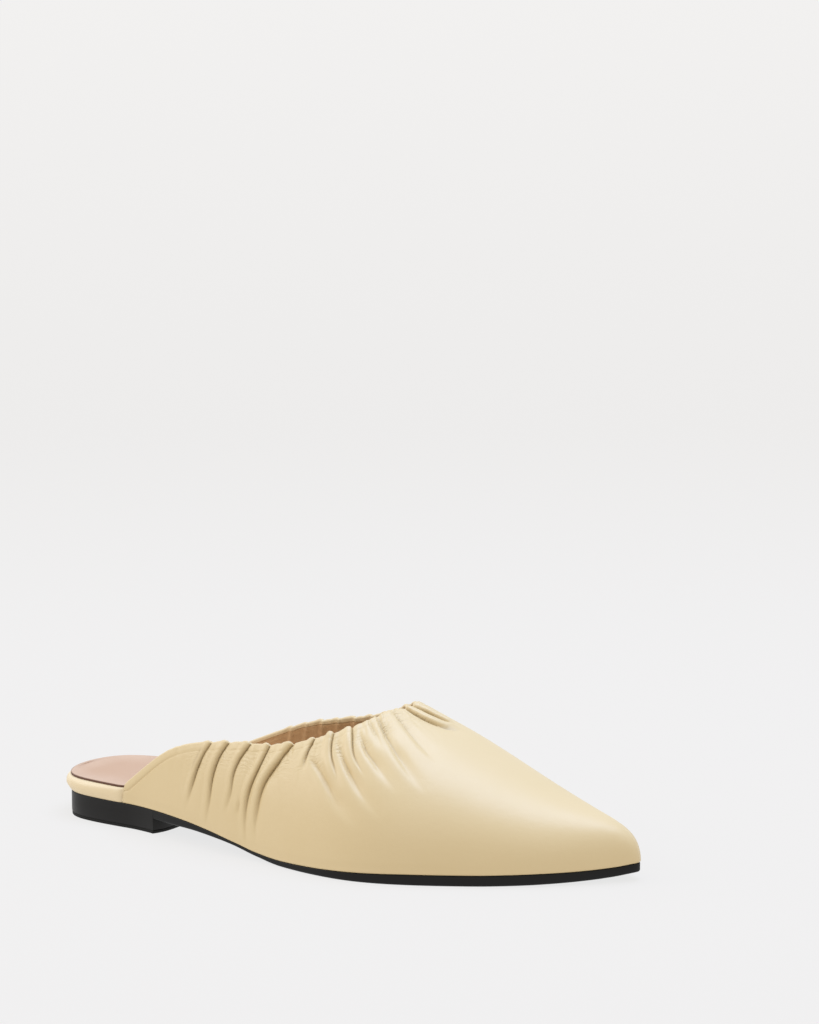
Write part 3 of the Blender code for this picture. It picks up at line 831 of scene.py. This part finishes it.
# The gathered skin on the ribs' points: the collar is scalloped first, then come the points of
# the last, their normals, the height of folds, puckers and sewn channel, and the folds' push.
def buildUpperSkin(way, climb):
    station, around = fanPoint(way, climb[None, :] + 0 * way[:, None])
    around[:, 0] = np.sign(way)
    base = lastPoint(station, around)
    _, _, _, scallop = gathers(station[:, -1:], around[:, -1:])
    ribLength = np.linalg.norm(np.diff(base, axis=1), axis=-1).sum(axis=1)
    lift = 1 + upperLook["scallop"] * scallop / ribLength[:, None] * smoothStep(climb, .80, 1)[None, :]
    lift -= (upperLook["rim"] / ribLength)[:, None] * smoothStep(climb, .7, 1)[None, :]
    station, around = fanPoint(way, np.maximum(climb[None, :] * lift, 0))
    around[:, 0] = np.sign(way)
    base = lastPoint(station, around)
    outward = rowNormals(base)
    relief, push, creaseShadeOnSkin, _ = gathers(station, around)
    step = np.linalg.norm(np.diff(base, axis=1), axis=-1)
    below = np.cumsum(step[:, ::-1], axis=1)[:, ::-1]
    below = np.concatenate([below, np.zeros((len(way), 1))], axis=1)
    collarStep = np.linalg.norm(np.diff(base[:, -1], axis=0), axis=-1)
    collarAt = np.concatenate([[0], np.cumsum(collarStep)])
    toEnd = np.minimum(collarAt, collarAt[-1] - collarAt)[:, None]
    overSole = base[..., 2] - soleTop(station)
    loose = smoothStep(overSole, *upperLook["loose"])
    full = upperLook["fullness"] * (1 - smoothStep(station, *upperLook["fullBehind"]))
    (wide, tall), (fineWide, fineTall) = upperLook["puckerSteps"]
    wrinkle = softNoise(collarAt[:, None] / wide, below / tall, 5)
    wrinkle = wrinkle + .6 * softNoise(collarAt[:, None] / fineWide, below / fineTall, 11)
    wrinkle = wrinkle * np.exp(-below / upperLook["puckerDown"])
    wrinkle = wrinkle * smoothStep(toEnd, *upperLook["puckerZone"]) * upperLook["pucker"]
    less, *zone = upperLook["sewnLess"]
    sewn = 1 - less * smoothStep(toEnd, *zone)
    seam = upperLook["grooveBelow"]
    groove = np.exp(-((below - seam) / upperLook["grooveWidth"]) ** 2)
    puff = np.exp(-((below - .5 * seam) / (.42 * seam)) ** 2)
    channel = sewn * (puff * upperLook["channelPuff"] - groove * upperLook["grooveDepth"])
    channel = channel * smoothStep(overSole, 1 * mm, 5 * mm)
    height = loose * (full + relief + wrinkle) + channel
    return station, base, outward, height, push * loose, creaseShadeOnSkin * loose, below, collarAt


way = evenWays(upperLook["ribs"])
climb = np.concatenate([
    [0, .003, .0065, .0105, .015, .021, .028],
    np.linspace(.036, .915, 84),
    np.linspace(.922, 1, 24),
])
station, base, outward, height, push, creaseShadeOnSkin, below, collarAt = buildUpperSkin(way, climb)
alongRib = unit(np.gradient(base, axis=0))
upward = unit(np.gradient(base, axis=1))
# the push leans each roll over its crease, in the order of the ribs
skin = base + outward * height[..., None] + alongRib * push[..., None]


# Curl on top of the sole: for a height h over the sole below the radius r, the skin goes in by
# r - sqrt(r^2 - (r - h)^2).
def curlIn(points, station, outward):
    r = upperLook["lastedRound"]
    flat = unit(outward * np.array([1, 1, 0]))
    low = soleTop(station) + .05 * mm
    over = points[..., 2] - low
    drop = (last["fit"] - .05 * mm) * (1 - np.clip(over / r, 0, 1))
    over = np.clip(over - drop, 0, r)
    inset = r - np.sqrt(np.maximum(r * r - (r - over) ** 2, 0))
    curled = points - flat * inset[..., None]
    curled[..., 2] -= drop
    return curled


skin = curlIn(skin, station, outward)
toEnd = np.minimum(collarAt, collarAt[-1] - collarAt)
endRound = np.sqrt(np.clip(1 - (1 - np.clip(toEnd / (.9 * mm), 0, 1)) ** 2, .04, 1))


# A row of the skin at a distance below the collar: the two rows that it lies between, mixed.
def rowBelow(values, walked, distance):
    at = np.clip((walked > np.reshape(distance, (-1, 1))).sum(axis=1) - 1, 0, walked.shape[1] - 2)
    rib = np.arange(len(walked))
    first, second = walked[rib, at], walked[rib, at + 1]
    share = np.clip((first - distance) / np.maximum(first - second, 1e-9), 0, 1)
    share = share.reshape(share.shape + (1,) * (values.ndim - 2))
    return values[rib, at] * (1 - share) + values[rib, at + 1] * share


# Inner face of the turned-in collar: the last's skin, set in, with part of the folds' height.
# Its hem goes down from the collar, a little further at the throat.
innerHeight = upperLook["innerFollow"] * height - upperLook["innerInset"] * endRound[:, None]
inside = base + outward * innerHeight[..., None]
inside = inside + alongRib * (upperLook["innerFollow"] * push)[..., None]
throatAt = collarAt[np.argmin(np.abs(way))]
nearThroat = np.exp(-((collarAt - throatAt) / (42 * mm)) ** 2)
hemDepth = upperLook["hemSide"] + upperLook["hemThroat"] * nearThroat
hemShares = (.2, .45, .7, .88, 1)
hem = np.stack([rowBelow(inside, below, share * hemDepth) for share in hemShares], axis=1)
hem[:, -1] += outward[:, -1] * .25 * mm  # the hem's raw edge lies on the lining
# Rolled edge: half an ellipse over the mean of the outer and inner top, as high as half its width.
angle = np.linspace(0, pi, 9)[1:][None, :, None]
half = (skin[:, -1] - inside[:, -1]) / 2
middle = (skin[:, -1] + inside[:, -1]) / 2
rise = upward[:, -1] * np.linalg.norm(half, axis=-1, keepdims=True)
rim = middle[:, None] + np.cos(angle) * half[:, None] + np.sin(angle) * rise[:, None]
# Back of the skin: it follows the troughs only, close enough in rows to stay behind the lining.
backRows = np.array([99, 94, 90, 85, 81, 75, 70, 64, 59, 53, 48, 42, 37, 31, 26, 21, 16, 12, 8, 5, 2])
backHeight = np.minimum(height[:, backRows], 0) - upperLook["leather"] * endRound[:, None]
back = base[:, backRows] + outward[:, backRows] * backHeight[..., None]
back[:, -1] = skin[:, 0] - unit(outward[:, 0] * np.array([1, 1, 0])) * (.3 * mm * endRound)[:, None]
back[:, -1, 2] = skin[:, 0, 2] + .02 * mm
loops = np.concatenate([skin, rim, hem, back], axis=1)  # up outside, over the rim, down inside
points, faces = loopSkin(loops)
upperLeather = addPiece("upperLeather", points, faces, butterNappa, ["upper"])
rows = skin.shape[1]
# painted shade in the creases, darker where a crease's line is strong
creaseShadeValues = np.zeros(loops.shape[:2])
creaseShadeValues[:, :rows] = np.clip(creaseShadeOnSkin, 0, 1) ** 1.3 * .95
addAttribute(upperLeather, "paintedCreaseShade", creaseShadeValues)
# where small wrinkles cross the gathers, and a flat map of the skin to lay them on
puckerValues = np.zeros(loops.shape[:2])
endFade = smoothStep(toEnd, 34 * mm, 52 * mm)[:, None]
inValley = np.clip(.55 - height / (1.2 * mm), .15, 1)
puckerValues[:, :rows] = endFade * inValley * np.exp(-((below - 7 * mm) / (7 * mm)) ** 2)
addAttribute(upperLeather, "pucker", puckerValues)
mapAlong = np.repeat(collarAt[:, None], loops.shape[1], axis=1)
mapDown = np.zeros(loops.shape[:2])
mapDown[:, :rows] = below
skinMap = np.stack([mapAlong, mapDown, 0 * mapDown], axis=-1)
addAttribute(upperLeather, "skinMap", skinMap, "FLOAT_VECTOR", "vector")
print("stage: upper leather", len(points), "points", len(faces), "faces")

liningLook = {
    "ribs": 430,
    "rows": 56,
    "inset": 1.5 * mm,
    "thickness": .6 * mm,
    "follow": .5,  # share of the rolls' height
    "troughFollow": 1.15,  # and of the troughs' depth, to stay clear of the outer skin's back
}
liningWay = evenWays(liningLook["ribs"])
liningClimb = np.concatenate([[0, .01], np.linspace(.03, 1, liningLook["rows"])])
_, inner, liningOutward, folds, *_ = buildUpperSkin(liningWay, liningClimb)
folds = (liningLook["troughFollow"] * np.minimum(folds, 0)
         + liningLook["follow"] * np.maximum(folds, 0))
inner = inner + liningOutward * (folds - liningLook["inset"])[..., None]
outer = inner + liningOutward * liningLook["thickness"]
keep = liningClimb < .97
inner, outer = inner[:, keep], outer[:, keep]
trim = slice(2, -2)
points, faces = loopSkin(np.concatenate([inner[trim], outer[trim, ::-1]], axis=1))
addPiece("upperLining", points, faces, tanLining, ["upper"])
print("stage: upper lining", len(points), "points")

onLateral = np.arange(len(outlineStation)) <= len(outlineStation) // 2
# the rand dives under the upper just ahead of the upper's back ends
covered = np.where(onLateral, smoothStep(outlineStation, .146, .158),
                   smoothStep(outlineStation, .180, .192))
flatter = np.where(onLateral, smoothStep(outlineStation, .07, .15),
                   smoothStep(outlineStation, .10, .185))


# How far the sole's side stands in from the last: a constant inset and a tuck at the back,
# tuck times exp(-(x / reach)^2).
def soleTuck(station):
    atBack = np.exp(-(station * last["length"] / last["backReach"]) ** 2)
    return last["soleInset"] + last["backTuck"] * atBack


soleSide = soleTuck(outlineStation)


# Inset of an edge that shows around the heel and lies inside the upper ahead of it.
def tucked(openInset, slack):
    inside = 1.5 * mm + last["fit"] + slack + 1.0 * mm * smoothStep(outlineStation, .92, 1)
    return openInset + (inside - openInset) * covered


randLook = {
    # share of the rand's height, share of its bulge, share of its top shoulder
    "height": (0, .05, .16, .30, .44, .56, .68, .79, .88, .95, .99, 1),
    "bulge": (0, .25, .50, .78, .96, 1, .93, .74, .45, .18, .04, 0),
    "shoulder": (.06, 0, 0, 0, 0, 0, 0, .05, .16, .38, .72, 1),
    "bulgeBy": 1.0 * mm,
    "shoulderBy": 1.3 * mm,
    "lower": .05 * mm,  # over the sole, and its top over the footbed
    "upper": .15 * mm,
}
rings = []
bedLow = soleTop(outlineStation) + randLook["lower"]
bedHigh = bedTop(outlineStation) + randLook["upper"]
for share, bulge, shoulder in zip(*(randLook[key] for key in ("height", "bulge", "shoulder"))):
    foot = soleSide * max(0, 1 - 2.4 * share)
    openInset = (foot - randLook["bulgeBy"] * bulge * (1 - .75 * flatter)
                 + randLook["shoulderBy"] * shoulder)
    rings.append(ringAt(tucked(openInset, .1 * mm), bedLow + (bedHigh - bedLow) * share))
points, faces = slab(rings, lambda s, a: soleTop(s) + randLook["lower"],
                     lambda s, a: bedTop(s) + randLook["upper"])
addPiece("footbedRand", points, faces, randNappa, ["footbed"])

sockSize = {
    "thickness": 1.0 * mm,
    "dish": .5 * mm,
    "over": .1 * mm,  # over the footbed
    "openInset": .95 * mm,
    # rings of its edge: inset, lower (0) or upper (1) face, height over it, both in millimetres,
    # and how much of the darker brown edge tone lies there
    "edge": ((.1, 0, 0, 1), (0, 0, .2, 1), (0, 1, -.25, .95), (.1, 1, -.05, .75),
             (.3, 1, 0, .25), (.75, 1, .02, 0), (1.6, 1, 0, 0)),
}
rimInset = tucked(sockSize["openInset"], .7 * mm)
sockLow = bedTop(outlineStation) + sockSize["over"]
sockRings = [ringAt(rimInset + inset * mm, sockLow + face * sockSize["thickness"] + over * mm)
             for inset, face, over, _ in sockSize["edge"]]


# The sock's top sinks a little towards its middle: dish times 1 - (2a - 1)^4 across.
def sockTopAt(s, a):
    top = bedTop(s) + sockSize["over"] + sockSize["thickness"]
    return top - sockSize["dish"] * (1 - (2 * a - 1) ** 4)


points, faces = slab(sockRings, lambda s, a: bedTop(s) + sockSize["over"], sockTopAt)
insoleSock = addPiece("insoleSock", points, faces, pinkSock, ["insole_sock"])
# darker brown tone along the sock's edge, strongest on its side face
edgeTone = np.zeros(len(points))
shown = np.repeat([row[3] for row in sockSize["edge"]], len(outlineStation))
edgeTone[:len(shown)] = shown
addAttribute(insoleSock, "darkEdge", edgeTone)
# painted shade: the sock browner in its middle, fading out at the back and towards the sides
across = points[:, 1] / np.maximum(reach(points[:, 0] / last["length"], points[:, 1]), 1 * mm)
fromBack = smoothStep(points[:, 0], 2 * mm, 16 * mm)
addAttribute(insoleSock, "middle", .5 * fromBack * (1 - smoothStep(np.abs(across), .35, .92)))
print("stage: footbed and sock")

soleSize = {
    "edgeRound": .9 * mm,
    "waistBevel": 10 * mm,
    "waistEdge": 1.1 * mm,
    "topRound": .35 * mm,
}
plateHigh = soleTop(outlineStation)
thickness = plateThickness(outlineStation)
feather = featherShare(outlineStation)
edgeHeight = thickness + (soleSize["waistEdge"] - thickness) * feather
corner = np.minimum(soleSize["edgeRound"], edgeHeight / 3)
soleRings = [ringAt(soleSide + corner + feather * soleSize["waistBevel"], underside(outlineStation))]
for turn in np.linspace(0, pi / 2, 6):
    soleRings.append(ringAt(soleSide + corner * (1 - sin(turn)),
                            plateHigh - edgeHeight + corner * (1 - cos(turn))))
small = soleSize["topRound"]
for turn in np.linspace(0, pi / 2, 4):
    soleRings.append(ringAt(soleSide + small * (1 - cos(turn)),
                            plateHigh - small + small * sin(turn)))
points, faces = slab(soleRings, lambda s, a: underside(s), lambda s, a: soleTop(s))
addPiece("outsolePlate", points, faces, solePlastic, ["outsole"])

heelSize = {
    "length": 58.5 * mm,
    "bulge": 3.2 * mm,
    "topPiece": 1.4 * mm,  # thickness of the thin pad, and the joint over it
    "joint": .08 * mm,
    # insets of the rings from the floor up
    "insets": (.25 * mm, .08 * mm, -.02 * mm, -.02 * mm, -.02 * mm),
    "topPieceInsets": (.5 * mm, .2 * mm, .12 * mm, .12 * mm, .25 * mm),
    "steps": 90,
    "breastSteps": 24,
}


# Outline of the heel block: the shoe's outline back of the breast, then the breast with round
# corners, x = length + bulge (1 - |2a - 1|^6) for the share a across.
def heelOutline(inset):
    angle = np.arccos(1 - 2 * heelSize["length"] / last["length"])
    turn = np.linspace(-angle, angle, 2 * heelSize["steps"] + 1)
    s = (1 - np.cos(turn)) / 2
    side = -np.sign(turn)
    flat = np.stack([s * last["length"], side * reach(s, side)], axis=-1)
    flat = movedIn(flat, np.gradient(flat, axis=0), soleTuck(s) + inset)
    flat[0, 0] = flat[-1, 0] = heelSize["length"] - inset
    share = np.arange(1, heelSize["breastSteps"]) / heelSize["breastSteps"]
    y = flat[-1, 1] + (flat[0, 1] - flat[-1, 1]) * share
    x = flat[0, 0] + heelSize["bulge"] * (1 - np.abs(2 * share - 1) ** 6)
    return np.vstack([flat, np.column_stack([x, y])])


# Upright block: rings of the heel outline with an inset and a height for each, capped flat.
def blockSkin(insets, heights):
    rings = []
    for inset, height in zip(insets, heights):
        flat = heelOutline(inset)
        rings.append(np.column_stack([flat, height + 0 * flat[:, 0]]))
    return loopSkin(np.stack(rings))


seat = float(underside(0))
blockTop = heelOutline(0)
topHeight = soleTop(blockTop[:, 0] / last["length"]) - .4 * mm
pad = heelSize["topPiece"]
low = pad + heelSize["joint"]
points, faces = blockSkin(heelSize["insets"],
                          (low, low + .1 * mm, low + .35 * mm, seat - .5 * mm, topHeight))
heelBlock = addPiece("heelBlock", points, faces, heelPlastic, ["outsole"])
points, faces = blockSkin(heelSize["topPieceInsets"], (0, .1 * mm, .35 * mm, pad - .15 * mm, pad))
heelTopPiece = addPiece("heelTopPiece", points, faces, topPieceRubber,
                        ["heel_top_piece"])
for item in (heelBlock, heelTopPiece):
    item.data.set_sharp_from_angle(angle=35 * pi / 180)
print("stage: sole and heel")

studio = {
    "paper": "#55514E",
    "paperGlow": .773,
    "paperGlowUp": .072,  # more on the upright part, which gets less light
    "bend": .8,  # radius of the sweep, and how far behind the shoe it starts
    "bendBehind": 1.6,
    "turned": pi / 6,
    "world": "#FFF8EE",
    "worldStrength": .765,
    # place, aim, side, watts, tint
    "overhead": ((.16, .28, 1.30), (.02, 0.0, .03), .9, 13.32, "#BDD6FF"),
    "fill": ((-.95, -.52, .62), (-.02, 0.0, .03), .7, 3.78, "#FAFAFF"),
}


# Paper sweep: flat floor that turns up in a quarter circle behind the shoe, as a profile
# carried sideways.
def makeSweep():
    turn = np.linspace(0, pi / 2, 24)
    bend, behind = studio["bend"], studio["bendBehind"]
    flatY = np.concatenate([[-4, -2, -1, 0, 1], behind + bend * np.sin(turn), [behind + bend]])
    flatZ = np.concatenate([[0, 0, 0, 0, 0], bend * (1 - np.cos(turn)), [4]])
    across = np.linspace(-4, 4, 9)
    x, y = np.meshgrid(across, flatY, indexing="ij")
    z = np.broadcast_to(flatZ, x.shape)
    c, s = cos(studio["turned"]), sin(studio["turned"])
    placed = np.stack([x * c - y * s, x * s + y * c, z], axis=-1)
    rows, columns = x.shape
    corner = (np.arange(rows - 1)[:, None] * columns + np.arange(columns - 1)[None, :]).ravel()
    quads = np.stack([corner, corner + columns, corner + columns + 1, corner + 1], axis=-1)
    mesh = bpy.data.meshes.new("paperSweep")
    mesh.from_pydata(placed.reshape(-1, 3).tolist(), [], quads.tolist())
    mesh.shade_smooth()
    item = addObject("paperSweep", mesh)
    material, tree, surface = newMaterial("paleMattPaper")
    setSurface(surface, {"Base Color": linear(studio["paper"]), "Roughness": .9,
                         "Specular IOR Level": 0, "Emission Color": linear("#FFFFFF")})
    place = addNode(tree, "TexCoord", {}).outputs["Object"]
    parts = addNode(tree, "SeparateXYZ", {}, [(0, place)])
    most = studio["paperGlow"] + studio["paperGlowUp"]
    glow = addNode(tree, "MapRange", {1: 0.0, 2: .8, 3: studio["paperGlow"], 4: most},
                   [(0, parts.outputs["Z"])])
    tree.links.new(glow.outputs[0], surface.inputs["Emission Strength"])
    item.visible_diffuse = False
    mesh.materials.append(material)


def placedBy(right, up, back, place):
    return Matrix([[right[k], up[k], back[k], place[k]] for k in range(3)] + [[0, 0, 0, 1]])


def addSoftbox(name, place, aim, side, watts, tint):
    light = bpy.data.lights.new(name, "AREA")
    light.shape = "SQUARE"
    light.size = side
    light.energy = watts
    light.color = linear(tint)[:3]
    back = unit(np.array(place, float) - np.array(aim, float))
    right = unit(np.cross([0, 0, 1.0], back))
    up = np.cross(back, right)
    addObject(name, light).matrix_world = placedBy(right, up, back, place)


makeSweep()
addSoftbox("overheadSoftbox", *studio["overhead"])
addSoftbox("fillSoftbox", *studio["fill"])
world = bpy.data.worlds.new("studioWorld")
world.use_nodes = True
background = world.node_tree.nodes["Background"]
background.inputs["Color"].default_value = linear(studio["world"])
background.inputs["Strength"].default_value = studio["worldStrength"]
bpy.context.scene.world = world
bpy.context.scene.view_settings.view_transform = "Standard"

view = {
    "place": (.7025, -.97979, .2927),  # from the back of the last, on the floor
    "lookedAt": (.15481, -.03112, .01963),
    "lookedAtPixel": (352, 815),
    "picture": (819, 1024),
    "focalPixels": 2783,
    "sensor": 36,
}


# Level camera through its place, turned so that the looked-at point falls on its pixel:
# the pitch from the point's height in the view, then the heading from its place across.
def addCamera():
    eye = np.array(view["place"]) + shift
    aim = unit(np.array(view["lookedAt"]) + shift - eye)
    wide, high = view["picture"]
    a = (view["lookedAtPixel"][0] - wide / 2) / view["focalPixels"]
    b = -(view["lookedAtPixel"][1] - high / 2) / view["focalPixels"]
    size = (a * a + b * b + 1) ** .5
    a, b, c = a / size, b / size, 1 / size
    pitch = asin(aim[2] / (b * b + c * c) ** .5) - atan2(b, c)
    ahead = c * cos(pitch) - b * sin(pitch)
    heading = atan2(aim[1], aim[0]) + atan2(a, ahead)
    forward = np.array([cos(heading) * cos(pitch), sin(heading) * cos(pitch), sin(pitch)])
    right = np.array([sin(heading), -cos(heading), 0])
    up = np.cross(right, forward)
    camera = bpy.data.cameras.new("photoCamera")
    camera.sensor_width = view["sensor"]
    camera.lens = view["focalPixels"] * view["sensor"] / max(view["picture"])
    camera.clip_start = .05
    camera.clip_end = 50
    item = addObject("photoCamera", camera)
    item.matrix_world = placedBy(right, up, -forward, eye)
    bpy.context.scene.camera = item


addCamera()
print("stage: studio and camera")
